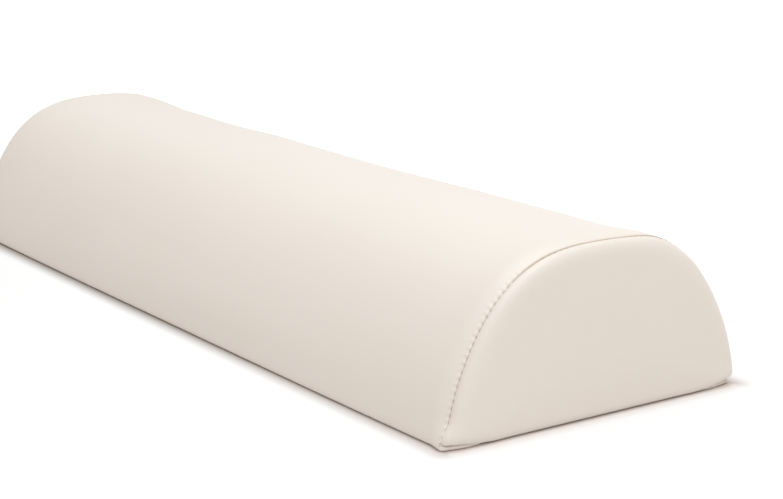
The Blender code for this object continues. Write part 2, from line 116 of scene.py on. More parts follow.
def sewn(x, y, z):  # where the sewing holds a point of the plain half-round
    past = abs(x) - halfSeam  # on the end panel's side of the seam
    inner, outer = max(-past, 0.0), max(past, 0.0)
    swell = form["endFlare"] * smoothStep(1 - inner / form["flareRun"])
    high = smoothStep((z / form["waistHeight"] - form["flareFoot"]) / (1 - form["flareFoot"]))
    scale = 1 + (swell + crownWave(x)) * high / form["waistHeight"]
    above = smoothStep(z / form["cornerHeight"])
    gather = max(1 - abs(past) / form["seamReach"], 0.0) ** 2
    inFront = smoothStep((form["drawBack"] - y) / form["drawSpan"])
    draw = form["seamDraw"][x > 0] * gather * above * inFront
    fromFoot = form["baseWidth"] / 2 - abs(y)
    push = form["cornerPush"] * (1 - above) * (smoothStep(1 - abs(past) / form["seamReach"])
                                               * smoothStep(1 - fromFoot / form["cornerSpan"]))
    corner = (1 - above) * smoothStep(1 - fromFoot / form["liftSpan"])
    lift = corner * form["cornerLift"] * smoothStep((form["liftReach"] - inner) / form["liftRamp"])
    rise = smoothStep((outer + form["riseStart"]) / form["riseReach"]) * (past > 0)
    lift += corner * form["lipRise"] * rise
    bow = form["frontBow"] * (1 - min(abs(x) / halfSeam, 1) ** form["bowPower"]) * (
        smoothStep(-y / form["bowFrom"]) * smoothStep(1 - z / form["bowHeight"]))
    lip = (1 - above) * smoothStep(1 - abs(abs(y) - form["lipMiddle"]) / form["lipSpan"])
    out = form["lipOut"] * lip * (smoothStep(1 - inner / form["lipReach"])
                                  * max(1 - outer / form["endDepth"], 0.0))
    return Vector((x + math.copysign(out, x),
                   y * (scale - 2 * draw / form["baseWidth"]) - push - bow,
                   z * (scale - draw / form["waistHeight"]) + lift))


# How far the crown stands over or under the plain form along X: foam and hand sewing are uneven.
crownWaves = {
    "x": (-0.2975, -0.285, -0.266, -0.255, -0.240, -0.202, -0.142, -0.086, -0.034, 0.015, 0.061,
          0.104, 0.145, 0.184, 0.220, 0.255, 0.272, 0.290, 0.2975),
    "rise": (0.0012, 0.0013, 0.0012, 0.0006, -0.0003, 0.0004, -0.0001, 0.0007, 0.0, -0.0004,
             -0.0004, 0.0, 0.0006, 0.0005, -0.0001, -0.0013, -0.0010, -0.0001, 0.0),
    "blur": 0.010, "blurPoints": 7, "sharpFrom": 0.02,
}


def crownWave(x):
    blur = crownWaves["blur"] * smoothStep((halfSeam - abs(x)) / crownWaves["sharpFrom"])
    near = x + np.linspace(-1, 1, crownWaves["blurPoints"]) * blur
    return float(np.mean(np.interp(near, crownWaves["x"], crownWaves["rise"])))


class Outline:  # the section's outer outline by its length from the zip's middle line
    def __init__(self):
        self.turns = np.linspace(0, 4, form["outlineSteps"] + 1)
        places = np.array([ringPoint(turn, 0, 0) for turn in self.turns])
        steps = np.linalg.norm(np.diff(places, axis=0), axis=1)
        self.lengths = np.concatenate([[0], np.cumsum(steps)])
        self.whole = self.lengths[-1]
        rising = form["outlineSteps"] // 16  # the back's steep part, up to turn 0.25
        heights = places[:rising, 1]
        self.zipLength = float(np.interp(form["zipHeight"], heights, self.lengths[:rising]))

    def turn(self, distance):
        return float(np.interp((distance + self.zipLength) % self.whole, self.lengths, self.turns))

    def distance(self, turn):
        return float(np.interp(turn, self.turns, self.lengths)) - self.zipLength

    def point(self, distance, depth):  # this deep below the skin
        first, here, second = (Vector(ringPoint(self.turn(distance + step), 0, 0))
                               for step in (-form["tangentStep"], 0.0, form["tangentStep"]))
        along = (second - first).normalized()
        return here.x - along.y * depth, here.y + along.x * depth


outline = Outline()
print("outline", round(outline.whole * 1000, 1), "mm round")

# Helpers for meshes.
weldGap = 1e-6
sharpAngle = math.radians(40)


def noCloth(row, column):
    return 0.0, 0.0


def wrappedGrid(rows, columns, place, cloth, ring=False):  # a flat grid laid on a form
    shape = bmesh.new()
    uv = shape.loops.layers.uv.new("cloth")
    bmesh.ops.create_grid(shape, x_segments=rows - 1, y_segments=columns - 1, size=0.5)
    spots = {vert: (round((vert.co.x + 0.5) * (rows - 1)), round((vert.co.y + 0.5) * (columns - 1)))
             for vert in shape.verts}
    for face in shape.faces:
        for loop in face.loops:
            loop[uv].uv = cloth(*spots[loop.vert])
    places = {vert: place(*spot) for vert, spot in spots.items()}
    for vert, spot in places.items():
        vert.co = spot or vert.co
    unused = [vert for vert, spot in places.items() if not spot]
    bmesh.ops.delete(shape, geom=unused, context="VERTS")
    if ring:
        bmesh.ops.remove_doubles(shape, verts=shape.verts, dist=weldGap)
    return shape


def makeObject(name, shape, material, body, replaced):
    bmesh.ops.recalc_face_normals(shape, faces=shape.faces)
    mesh = bpy.data.meshes.new(name)
    shape.to_mesh(mesh)
    shape.free()
    mesh.shade_smooth()
    mesh.materials.append(material)
    made = bpy.data.objects.new(name, mesh)
    scene.collection.objects.link(made)
    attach(made, body)
    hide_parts(replaced)
    return made


def thicken(thing, thickness):
    solidify = thing.modifiers.new("thickness", "SOLIDIFY")
    solidify.thickness = thickness
    solidify.offset = 0.0
    solidify.use_even_offset = True


def standAt(place, along, across, out):
    stand = Matrix.Identity(4)
    for column, vector in enumerate((along, across, out, place)):
        stand.col[column].xyz = vector
    return stand


# Helpers for materials.


class Wire:  # a socket; sums and products with it add Math nodes
    def __init__(self, tree, socket):
        self.tree, self.socket = tree, socket

    def node(self, kind, inputs, settings=None, output=0):
        made = self.tree.nodes.new(kind)
        for name, value in (settings or {}).items():
            setattr(made, name, value)
        for name, value in inputs.items():
            if isinstance(value, Wire):
                self.tree.links.new(value.socket, made.inputs[name])
            else:
                made.inputs[name].default_value = value
        return Wire(self.tree, made.outputs[output])

    def math(self, operation, first, second):
        return self.node("ShaderNodeMath", {0: first, 1: second}, {"operation": operation})

    def __add__(self, other):
        return self.math("ADD", self, other)

    def __radd__(self, other):
        return self.math("ADD", other, self)

    def __sub__(self, other):
        return self.math("SUBTRACT", self, other)

    def __rsub__(self, other):
        return self.math("SUBTRACT", other, self)

    def __mul__(self, other):
        return self.math("MULTIPLY", self, other)

    def __rmul__(self, other):
        return self.math("MULTIPLY", other, self)

    def __truediv__(self, other):
        return self.math("DIVIDE", self, other)

    def __pow__(self, other):
        return self.math("POWER", self, other)

    def clamped(self):
        return self.node("ShaderNodeClamp", {"Value": self})

    def cosine(self):
        return self.math("COSINE", self, 0.0)

    def split(self):  # its x, y and z
        first = self.node("ShaderNodeSeparateXYZ", {0: self})
        return [Wire(self.tree, socket) for socket in first.socket.node.outputs]

    def mixed(self, first, second):  # of two colours, by this factor
        return self.node("ShaderNodeMix", {"Factor": self, 6: first, 7: second},
                         {"data_type": "RGBA"}, output=2)


def color(red, green, blue):  # a colour as a picture shows it, 0-255
    return tuple((value / 255 / 12.92) if value < 10.3 else ((value / 255 + 0.055) / 1.055) ** 2.4
                 for value in (red, green, blue)) + (1.0,)


def newMaterial(name, fixed, pattern="Object"):
    made = bpy.data.materials.new(name)
    made.use_nodes = True
    tree = made.node_tree
    shader = tree.nodes["Principled BSDF"]
    for key, value in fixed.items():
        shader.inputs[key].default_value = value
    coordinates = tree.nodes.new("ShaderNodeTexCoord")
    return made, shader, Wire(tree, coordinates.outputs[pattern])


def connect(shader, inputs):
    for key, wire in inputs.items():
        wire.tree.links.new(wire.socket, shader.inputs[key])


def noisy(place, scale, **inputs):
    return place.node("ShaderNodeTexNoise", {"Vector": place, "Scale": scale, **inputs})


def bump(height, strength, distance, **inputs):
    inputs.update(Height=height, Strength=strength, Distance=distance)
    return height.node("ShaderNodeBump", inputs)


def blend(factor, look):  # from the look's dark colour to its light one
    return factor.mixed(color(*look["dark"]), color(*look["light"]))


# The cover's coated cloth has a fine grain, a crevice where it turns in (painted lighter, and
# painted dark as shade near the crown) and a dimple at each stitch.
leatherLook = {"light": (236, 228, 219), "dark": (231, 222, 212), "groove": (240, 232, 224),
               "paintedCrownShade": (186, 160, 134), "crownFrom": 0.078, "crownTo": 0.091,
               "grooveRise": 1400.0, "cloudScale": 9.0, "speckScale": 420.0, "cloudShare": 0.75,
               "roughness": 0.42, "roughnessRange": 0.08, "specular": 0.42, "grain": 900.0,
               "fineGrain": 2600.0, "grainShare": 0.75, "grainStrength": 0.10,
               "grainDepth": 0.00006, "stitchPitch": 0.004, "dimpleDepth": 0.00012,
               "dimpleReach": 0.0022}


def leatherMaterial():
    look = leatherLook
    made, shader, place = newMaterial("creamLeather", {"Specular IOR Level": look["specular"]})
    cloth = Wire(place.tree, place.socket.node.outputs["UV"])
    fromSeam, along = cloth.split()[:2]
    clouds = noisy(place, look["cloudScale"], Detail=3.0)
    specks = noisy(place, look["speckScale"], Detail=2.0)
    tone = (clouds * look["cloudShare"] + specks * (1 - look["cloudShare"])).clamped()
    inside = (fromSeam * -look["grooveRise"]).clamped()  # grows from the fold's crest inwards
    height = place.split()[2]
    # painted light and shade: the crevice's colour is painted lighter than the leather to offset
    # its shade, and near the crown it is painted dark brown as the crevice's shade line
    atCrown = ((height - look["crownFrom"]) / (look["crownTo"] - look["crownFrom"])).clamped()
    deep = atCrown.mixed(color(*look["groove"]), color(*look["paintedCrownShade"]))
    connect(shader, {"Base Color": inside.mixed(blend(tone, look), deep),
                     "Roughness": look["roughness"] + (specks - 0.5) * look["roughnessRange"]})
    cells = place.node("ShaderNodeTexVoronoi", {"Vector": place, "Scale": look["grain"]},
                       {"feature": "SMOOTH_F1"})
    fine = noisy(place, look["fineGrain"], Detail=2.0)
    grain = cells * look["grainShare"] + fine * (1 - look["grainShare"])
    reach = (1.0 - fromSeam / look["dimpleReach"]).clamped() ** 2.0
    dimples = (along * (2 * math.pi / look["stitchPitch"])).cosine() * reach
    pressed = bump(dimples, 1.0, look["dimpleDepth"])
    grained = bump(grain, look["grainStrength"], look["grainDepth"], Normal=pressed)
    connect(shader, {"Normal": grained})
    return made


threadLook = {"dark": (196, 181, 165), "light": (216, 202, 187), "roughness": 0.55,
              "strandScale": 3200.0, "strength": 0.5, "depth": 0.0001}


def threadMaterial():
    look = threadLook
    made, shader, place = newMaterial("sewingThread", {"Roughness": look["roughness"]})
    strands = noisy(place, look["strandScale"], Detail=2.0)
    connect(shader, {"Base Color": blend(strands, look),
                     "Normal": bump(strands, look["strength"], look["depth"])})
    return made


fibreLook = {"dark": (226, 226, 222), "light": (246, 246, 243), "roughness": 0.95,
             "tuftScale": 160.0, "tuftTwist": 1.5, "strength": 0.6, "depth": 0.0015}


def fibreMaterial():
    look = fibreLook
    made, shader, place = newMaterial("fibreWadding", {"Roughness": look["roughness"]})
    tufts = noisy(place, look["tuftScale"], Detail=6.0, Distortion=look["tuftTwist"])
    connect(shader, {"Base Color": blend(tufts, look),
                     "Normal": bump(tufts, look["strength"], look["depth"])})
    return made


foamLook = {"dark": (214, 205, 178), "light": (240, 233, 208), "roughness": 0.92,
            "poreScale": 520.0, "poreShare": 0.8, "cloudScale": 14.0, "cloudShare": 0.35,
            "strength": 0.7, "depth": 0.0008}


def foamMaterial():
    look = foamLook
    made, shader, place = newMaterial("opencellFoam", {"Roughness": look["roughness"]})
    pores = place.node("ShaderNodeTexVoronoi", {"Vector": place, "Scale": look["poreScale"]})
    clouds = noisy(place, look["cloudScale"], Detail=3.0)
    tone = (pores * look["poreShare"] + clouds * look["cloudShare"]).clamped()
    connect(shader, {"Base Color": blend(tone, look),
                     "Normal": bump(pores, look["strength"], look["depth"])})
    return made


tapeLook = {"dark": (226, 217, 204), "light": (243, 236, 226), "roughness": 0.8,
            "ribPitch": 0.0007, "pickPitch": 0.0005, "weave": 0.25, "strength": 0.8,
            "depth": 0.00012}


def tapeMaterial():
    look = tapeLook
    made, shader, cloth = newMaterial("zipTape", {"Roughness": look["roughness"]}, "UV")
    along, across = cloth.split()[:2]
    ribs = (across * (2 * math.pi / look["ribPitch"])).cosine()
    picks = (along * (2 * math.pi / look["pickPitch"])).cosine()
    weave = (ribs * picks * look["weave"] + ribs * look["weave"] + 0.5).clamped()
    connect(shader, {"Base Color": blend(weave, look),
                     "Normal": bump(weave, look["strength"], look["depth"])})
    return made


coilLook = {"dark": (238, 231, 220), "light": (249, 244, 236), "shadeScale": 900.0,
            "roughness": 0.34, "roughnessRange": 0.12, "specular": 0.5}


def coilMaterial():
    look = coilLook
    made, shader, place = newMaterial("zipCoil", {"Specular IOR Level": look["specular"]})
    shade = noisy(place, look["shadeScale"], Detail=2.0)
    connect(shader, {"Base Color": blend(shade, look),
                     "Roughness": look["roughness"] + shade * look["roughnessRange"]})
    return made


metalLook = {"dark": (188, 186, 180), "light": (222, 220, 214), "hazeScale": 700.0,
             "roughness": 0.20, "roughnessRange": 0.22, "scratchScale": 2400.0,
             "scratchTwist": 0.6, "strength": 0.15, "depth": 0.00005}


def metalMaterial():
    look = metalLook
    made, shader, place = newMaterial("zipMetal", {"Metallic": 1.0})
    haze = noisy(place, look["hazeScale"], Detail=5.0, Roughness=0.65)
    scratches = noisy(place, look["scratchScale"], Detail=2.0, Distortion=look["scratchTwist"])
    connect(shader, {"Base Color": blend(haze, look),
                     "Roughness": look["roughness"] + haze * look["roughnessRange"],
                     "Normal": bump(scratches, look["strength"], look["depth"])})
    return made


leather, thread = leatherMaterial(), threadMaterial()
fibre, foam = fibreMaterial(), foamMaterial()
tapeCloth, coilNylon, nickel = tapeMaterial(), coilMaterial(), metalMaterial()
print("materials done")

# The cloth settles over its filling.
clothFeel = {"frames": 12, "quality": 5, "mass": 0.3, "pressure": 0.7, "tension": 80.0,
             "shear": 25.0, "bending": 10.0, "cap": 0.0014}


def settledSheet(name, rows, columns, place, pinned, ring=False):
    # simulates the cloth between its seams and returns where each grid point comes to rest
    plain = {(row, column): place(row, column) for row in range(rows) for column in range(columns)}
    shape = wrappedGrid(rows, columns, lambda row, column: plain[row, column], noCloth, ring)
    shape.normal_update()
    core = Vector((0, 0, form["coreHeight"]))
    if sum(face.normal.dot(face.calc_center_median() - core) for face in shape.faces) < 0:
        bmesh.ops.reverse_faces(shape, faces=shape.faces)
    mesh = bpy.data.meshes.new(name)
    shape.to_mesh(mesh)
    shape.free()
    sheet = bpy.data.objects.new(name, mesh)
    scene.collection.objects.link(sheet)
    tree = KDTree(len(mesh.vertices))
    for vert in mesh.vertices:
        tree.insert(vert.co, vert.index)
    tree.balance()
    nearest = {spot: tree.find(point)[1] for spot, point in plain.items()}
    sewnDown = sheet.vertex_groups.new(name="sewnDown")
    sewnDown.add([nearest[spot] for spot in plain if pinned(*spot)], 1.0, "REPLACE")
    cloth = sheet.modifiers.new("settling", "CLOTH")
    feel = cloth.settings
    feel.quality, feel.mass = clothFeel["quality"], clothFeel["mass"]
    feel.tension_stiffness = feel.compression_stiffness = clothFeel["tension"]
    feel.shear_stiffness, feel.bending_stiffness = clothFeel["shear"], clothFeel["bending"]
    feel.use_pressure, feel.uniform_pressure_force = True, clothFeel["pressure"]
    feel.vertex_group_mass = sewnDown.name
    feel.effector_weights.gravity = 0
    cloth.point_cache.frame_end = clothFeel["frames"]
    for step in range(1, clothFeel["frames"] + 1):
        scene.frame_set(step)
    rested = sheet.evaluated_get(bpy.context.evaluated_depsgraph_get()).data.vertices
    moves = {spot: rested[nearest[spot]].co - plain[spot] for spot in plain}
    bpy.data.objects.remove(sheet)
    scene.frame_set(1)
    lengths = [move.length for move in moves.values()]
    print(name, "settled by up to", round(max(lengths) * 1000, 2), "mm,",
          round(sum(lengths) / len(lengths) * 1000, 2), "mm on average")
    return {spot: plain[spot] + move * min(1, clothFeel["cap"] / max(move.length, 1e-9))
            for spot, move in moves.items()}


# The cover panel turns in at both end seams and at the zip.
seam = {"gap": 0.0001, "foldRadius": 0.0005, "allowance": 0.010, "foldSteps": 7, "legSteps": 3,
        "step": 0.0006, "pitch": 0.004, "thread": 0.00056, "stitch": 0.0026, "depth": 0.00035,
        "dip": 0.0005, "tangentStep": 0.0005, "stitchSides": 7, "stitchRings": 8}
foldX = halfSeam - (seam["gap"] + form["leather"]) / 2 - seam["foldRadius"]  # here it turns in
zipWay = {"hemLine": 0.00655, "hemEnd": 0.0136, "hemTurn": 0.00075, "hemSteps": 4,
          "tapeDepth": 0.0028, "tapeEnd": 0.0130, "tapeThick": 0.0006, "topstitch": 0.0095}
coverGrid = {"acrossStep": 0.0027, "footSteps": 5, "footLength": 0.006, "lengthSteps": 112,
             "endCrowd": 0.55, "hemTurns": 0.15, "hemTries": 301}


def stations(start, end, step):  # distances round the section, crowded at both feet
    corners = [start] + [outline.distance(turn) for turn in (1, 2, 3, 4)] + [end]
    found = [start]
    for low, high in zip(corners, corners[1:]):
        foot = high - low < coverGrid["footLength"]
        count = coverGrid["footSteps"] if foot else round((high - low) / step)
        found += [low + (high - low) * part / count for part in range(1, count + 1)]
    return found


def coverLengths():  # rows along X, closer together near both seams
    count, crowd = coverGrid["lengthSteps"], coverGrid["endCrowd"]
    shares = [2 * step / count - 1 for step in range(count + 1)]
    return [foldX * ((1 - crowd) * share + crowd * math.sin(share * math.pi / 2))
            for share in shares]


def hemPlaces():  # distance along the outline and depth, from the fold's start to the cut edge
    turn, line, end, steps = (zipWay[key] for key in ("hemTurn", "hemLine", "hemEnd", "hemSteps"))
    angles = [math.pi * step / (steps + 1) for step in range(1, steps + 1)]
    places = [(line - turn * math.sin(angle), skinMiddle + turn * (1 - math.cos(angle)))
              for angle in angles]
    return places + [(along, skinMiddle + 2 * turn) for along in (line, (line + end) / 2, end)]


def hemTurnOf(half):  # the outline's turn at which the skin's edge meets its hem
    tries = np.linspace(0, coverGrid["hemTurns"], coverGrid["hemTries"])
    heights = [ringPoint(turn, skinMiddle, skinMiddle)[1] for turn in tries]
    height = outline.point(half * zipWay["hemLine"], skinMiddle)[1]
    return float(np.interp(height, heights, tries))


def foldProfile():  # x, inset and length past the crest of the rows that turn in at a seam
    radius = seam["foldRadius"]
    rows = []
    for step in range(1, seam["foldSteps"] + 1):
        angle = math.pi / 2 * step / seam["foldSteps"]
        rows.append((radius * math.sin(angle), radius * (1 - math.cos(angle)), radius * angle))
    for step in range(1, seam["legSteps"] + 1):
        leg = seam["allowance"] * step / seam["legSteps"]
        rows.append((radius, radius + leg, radius * math.pi / 2 + leg))
    return rows


def coverPanel():
    hem = zipWay["hemLine"]
    distances = stations(hem, outline.whole - hem, coverGrid["acrossStep"])
    bodyX, hems = coverLengths(), hemPlaces()
    turns = [outline.turn(distance) for distance in distances]
    turns[0], turns[-1] = hemTurnOf(1), hemTurnOf(-1)
    last = len(bodyX) - 1

    def onForm(row, column):
        return sewn(bodyX[row], *ringPoint(turns[column], skinMiddle, skinMiddle))

    def pinned(row, column):
        return row in (0, last) or column in (0, len(turns) - 1) or 2 <= turns[column] <= 3

    settled = settledSheet("coverSheet", len(bodyX), len(turns), onForm, pinned)
    folds, radius = foldProfile(), seam["foldRadius"]
    rows = [("fold", -1, fold) for fold in reversed(folds)]
    rows += [("body", index, None) for index in range(len(bodyX))]
    rows += [("fold", 1, fold) for fold in folds]
    columns = [("hem", 1, hem) for hem in reversed(hems)]
    columns += [("skin", index, None) for index in range(len(turns))]
    columns += [("hem", -1, hem) for hem in hems]

    def place(row, column):
        (part, which, fold), (zone, index, hem) = rows[row], columns[column]
        if part == "fold":
            if zone == "hem":
                return None
            inset = skinMiddle + fold[1]
            spot = sewn(which * (foldX + fold[0]), *ringPoint(turns[index], inset, inset))
            # under the end panel's corners the base rolls out
            foot = smoothStep(min(turns[index] - 1, 4 - turns[index]))
            corner = smoothStep(1 - (form["baseWidth"] / 2 - abs(spot.y)) / form["liftSpan"])
            rolled = math.sin(2 * min(fold[2] / radius, math.pi / 2))
            spot.x += which * form["roll"] * foot * corner * rolled
            return spot
        if zone == "hem":
            return sewn(bodyX[which], *outline.point(index * hem[0], hem[1]))
        return settled[which, index]

    def cloth(row, column):
        (part, which, fold), (zone, index, hem) = rows[row], columns[column]
        fromSeam = -fold[2] if part == "fold" else foldX - abs(bodyX[which])
        along = distances[index] if zone == "skin" else index * hem[0]
        return fromSeam, along

    shape = wrappedGrid(len(rows), len(columns), place, cloth)
    made = makeObject("coverPanel", shape, leather, "cover", "wrap_panel")
    thicken(made, form["leather"])


# An end panel is rings of points from its seam over the rim to its middle, the heart.
endForm = {"rimSteps": 7, "faceSteps": 16, "crown": 0.0009, "crownGrowth": 1.6,
           "acrossStep": 0.0027, "evenFrom": 0.45, "heart": 0.42, "holeFrom": 0.003,
           "lowerFrom": 0.15, "lowerRun": 0.3}


def endPanel(name, node, side):
    distances = stations(0.0, outline.whole, endForm["acrossStep"])
    turns = [outline.turn(distance) for distance in distances]
    startX = halfSeam + (seam["gap"] + form["leather"]) / 2 + seam["foldRadius"]
    rimDepth = halfSeam + form["endDepth"] - skinMiddle - startX
    rim = []
    for step in range(endForm["rimSteps"] + 1):
        angle = math.pi / 2 * step / endForm["rimSteps"]
        inward = 1 - math.cos(angle)
        rim.append((startX + rimDepth * math.sin(angle), form["rimWidth"] * inward,
                    skinMiddle + form["rimFloor"] * inward))
    # towards the front the panel lies a little deeper than the cover, so its seam shows
    lowered = [skinMiddle + seam["step"] * smoothStep(
        (min(turn, 4 - turn) - endForm["lowerFrom"]) / endForm["lowerRun"]) for turn in turns]
    faceRing = [sewn(side * (startX + rimDepth), *ringPoint(turn, depth + rim[-1][1], rim[-1][2]))
                for turn, depth in zip(turns, lowered)]
    heart = Vector((sum(edge.x for edge in faceRing) / len(faceRing), 0,
                    form["waistHeight"] * endForm["heart"]))
    shares = [(step + 1) / (endForm["faceSteps"] + 0.5) for step in range(endForm["faceSteps"])]
    body = [("rim", row) for row in rim] + [("face", share) for share in shares]

    def onForm(row, column):
        part, detail = body[row]
        if part == "face":
            spot = faceRing[column].lerp(heart, detail)
            spot.x += side * endForm["crown"] * smoothStep(detail * endForm["crownGrowth"])
            return spot
        x, inset, floor = detail
        return sewn(side * x, *ringPoint(turns[column], lowered[column] + inset, floor))

    def pinned(row, column):
        return row == 0

    settled = settledSheet(name + "Sheet", len(body), len(turns), onForm, pinned, ring=True)
    faceMoves = {spot: settled[spot] - onForm(*spot) for spot in settled
                 if body[spot[0]][0] == "face"}
    average = sum(faceMoves.values(), Vector()) / len(faceMoves)
    for spot, move in faceMoves.items():  # the rings crowd at the heart, so there it moves as one
        settled[spot] += (average - move) * smoothStep(body[spot[0]][1] / endForm["evenFrom"])
    folds = foldProfile()
    rows = [("fold", fold) for fold in reversed(folds)]
    rows += [("body", index) for index in range(len(body))]
    lengths = [0.0]
    middle = len(turns) // 4
    for row in range(1, len(body)):
        lengths.append(lengths[-1] + (settled[row, middle] - settled[row - 1, middle]).length)

    def place(row, column):
        part, which = rows[row]
        if part == "body":
            return settled[which, column]
        return sewn(side * (startX - which[0]), *ringPoint(
            turns[column], lowered[column] + which[1], skinMiddle + which[1]))

    def cloth(row, column):
        part, which = rows[row]
        return (lengths[which] if part == "body" else -which[2]), distances[column]

    shape = wrappedGrid(len(rows), len(turns), place, cloth, ring=True)
    faceX = halfSeam + endForm["holeFrom"]
    hole = [edge for edge in shape.edges
            if edge.is_boundary and all(abs(vert.co.x) > faceX for vert in edge.verts)]
    bmesh.ops.edgeloop_fill(shape, edges=hole)
    made = makeObject(name, shape, leather, "cover", node)
    thicken(made, form["leather"])


def stitchLine(name, node, stands, length, thickness, dip):  # one tapered stitch at each stand
    single = bmesh.new()
    bmesh.ops.create_uvsphere(single, u_segments=seam["stitchSides"],
                              v_segments=seam["stitchRings"], radius=0.5)
    for vert in single.verts:
        x, y, z = vert.co
        vert.co = (z * length, x * thickness, y * thickness - dip * (2 * z) ** 4)
    stitch = bpy.data.meshes.new("stitch")
    single.to_mesh(stitch)
    single.free()
    shape = bmesh.new()
    for stand in stands:
        before = len(shape.verts)
        shape.from_mesh(stitch)
        shape.verts.ensure_lookup_table()
        bmesh.ops.transform(shape, matrix=stand, verts=shape.verts[before:])
    makeObject(name, shape, thread, "cover", node)


def seamStitches(name, node, side):
    count = round(outline.whole / seam["pitch"])
    depth, probe = seam["depth"], seam["tangentStep"]
    stands = []
    for index in range(count):
        distance = outline.whole * (index + 0.5) / count
        first, here, second = (
            sewn(side * halfSeam, *ringPoint(outline.turn(distance + step), depth, depth))
            for step in (-probe, 0.0, probe))
        along = (second - first).normalized()
        out = Vector((1, 0, 0)).cross(along).normalized()
        if out.dot(here - Vector((here.x, 0, form["coreHeight"]))) <= 0:
            out = -out
        stands.append(standAt(here, along, out.cross(along), out))
    stitchLine(name, node, stands, seam["stitch"], seam["thread"], seam["dip"])


coverPanel()
print("cover done")
for sideName, side in (("Left", -1), ("Right", 1)):
    endPanel("endPanel" + sideName, sideName.lower() + "_end_panel", side)
    seamStitches("seamStitches" + sideName, sideName.lower() + "_seam_thread", side)
print("end panels and seams done")

# The filling is unseen inside the cover.
filling = {"innerX": 0.29575, "hemX": 0.29315, "gap": 0.0003, "fibre": 0.0040,
           "fibreInset": 0.00345, "foamInset": 0.0059, "endInset": 0.0113, "plugInset": 0.0119,
           "padBack": 0.29895, "padFace": 0.3037, "padCentre": 0.0100, "padRim": 0.0016,
           "rimSteps": 6, "lengthSteps": 56, "acrossStep": 0.006, "lump": 0.0005,
           "lumpSize": 0.02, "wrapColumns": 60, "wrapStart": 0.001}


def closedSolid(name, node, material, rings):
    # the rings are x, inset and floor, from one end to the other
    distances = stations(0.0, outline.whole, filling["acrossStep"])
    turns = [outline.turn(distance) for distance in distances]

    def place(row, column):
        x, inset, floor = rings[row]
        return sewn(x, *ringPoint(turns[column], inset, floor))

    shape = wrappedGrid(len(rings), len(turns), place, noCloth, ring=True)
    bmesh.ops.holes_fill(shape, edges=[edge for edge in shape.edges if edge.is_boundary])
    made = makeObject(name, shape, material, "cover", node)
    made.data.set_sharp_from_angle(angle=sharpAngle)


def lengthRows(end):
    count = filling["lengthSteps"]
    return [end * math.sin((step / count - 0.5) * math.pi) for step in range(count + 1)]


def foamCore():
    inset, floor = filling["foamInset"], form["leather"] + filling["gap"]
    body = [(x, inset, floor) for x in lengthRows(filling["hemX"])]
    endInset = filling["endInset"]
    eased = [(side * filling["innerX"], endInset, endInset) for side in (-1, 1)]
    closedSolid("foamCore", "foam_core", foam, eased[:1] + body + eased[1:])


def fibrePad(name, node, side):
    back, face, plug = (filling[key] for key in ("padBack", "padFace", "plugInset"))
    rings = [(filling["innerX"] + filling["gap"], plug), (back, plug)]
    for step in range(filling["rimSteps"] + 1):
        angle = math.pi / 2 * step / filling["rimSteps"]
        inset = filling["padCentre"] - (filling["padCentre"] - filling["padRim"]) * math.cos(angle)
        rings.append((back + (face - back) * math.sin(angle), inset))
    rings = [(side * x, inset, inset) for x, inset in rings]
    closedSolid(name, node, fibre, rings)


def fibreWrap():
    start = outline.turn(zipWay["hemEnd"] + filling["wrapStart"])
    columns, xs = filling["wrapColumns"], lengthRows(filling["hemX"])
    turns = [start + (1 - start) * column / (columns - 1) for column in range(columns)]
    inset, floor = filling["fibreInset"], form["leather"] + filling["gap"]

    def place(row, column):
        spot = sewn(xs[row], *ringPoint(turns[column], inset, floor))
        lump = abs(noise.noise(spot / filling["lumpSize"])) * filling["lump"]
        return sewn(xs[row], *ringPoint(turns[column], inset + lump, floor))

    shape = wrappedGrid(len(xs), columns, place, noCloth)
    made = makeObject("fibreWrap", shape, fibre, "cover", "fibre_wrap")
    thicken(made, filling["fibre"] - filling["lump"])


foamCore()
fibreWrap()
for sideName, side in (("Left", -1), ("Right", 1)):
    fibrePad("fibrePad" + sideName, sideName.lower() + "_fibre_pad", side)
print("filling done")

# The zip: two woven tapes with a nylon coil each, their topstitching, the slider and its pull.
zipLook = {"rowSpacing": 0.010, "tapeColumns": 14, "tapeStart": 0.0009, "pitch": 0.0013,
           "coilWire": 0.00030, "head": 0.00042, "heel": 0.00300, "coilLow": 0.0003,
           "coilHigh": 0.0018, "turnPoints": 8, "firstTurn": 0.8, "stitchPitch": 0.0034,
           "stitch": 0.0029, "thread": 0.00042, "stitchDip": 0.0006, "stitchDepth": -0.00005}


def zipTape(name, node, half):
    inner, outer = zipLook["tapeStart"], zipWay["tapeEnd"]
    middle = zipWay["tapeDepth"] + zipWay["tapeThick"] / 2
    rows = 2 * round(filling["innerX"] / zipLook["rowSpacing"]) + 1

    def spotOf(row, column):
        x = filling["innerX"] * (2 * row / (rows - 1) - 1)
        return x, half * (inner + (outer - inner) * column / (zipLook["tapeColumns"] - 1))

    def place(row, column):
        x, reach = spotOf(row, column)
        return sewn(x, *outline.point(reach, middle))

    shape = wrappedGrid(rows, zipLook["tapeColumns"], place, spotOf)
    made = makeObject(name, shape, tapeCloth, "cover", node)
    thicken(made, zipWay["tapeThick"])


def zipFrame(x, height):  # its x runs to the left end, y up across the tapes and z out of them
    middleY, middleZ = outline.point(0.0, zipWay["tapeDepth"])
    aboveY, aboveZ = outline.point(form["tangentStep"], zipWay["tapeDepth"])
    up = Vector((0, aboveY - middleY, aboveZ - middleZ)).normalized()
    out = Vector((0, up.z, -up.y))
    return standAt(Vector((x, middleY, middleZ)) + out * height, (-1, 0, 0), up, out)


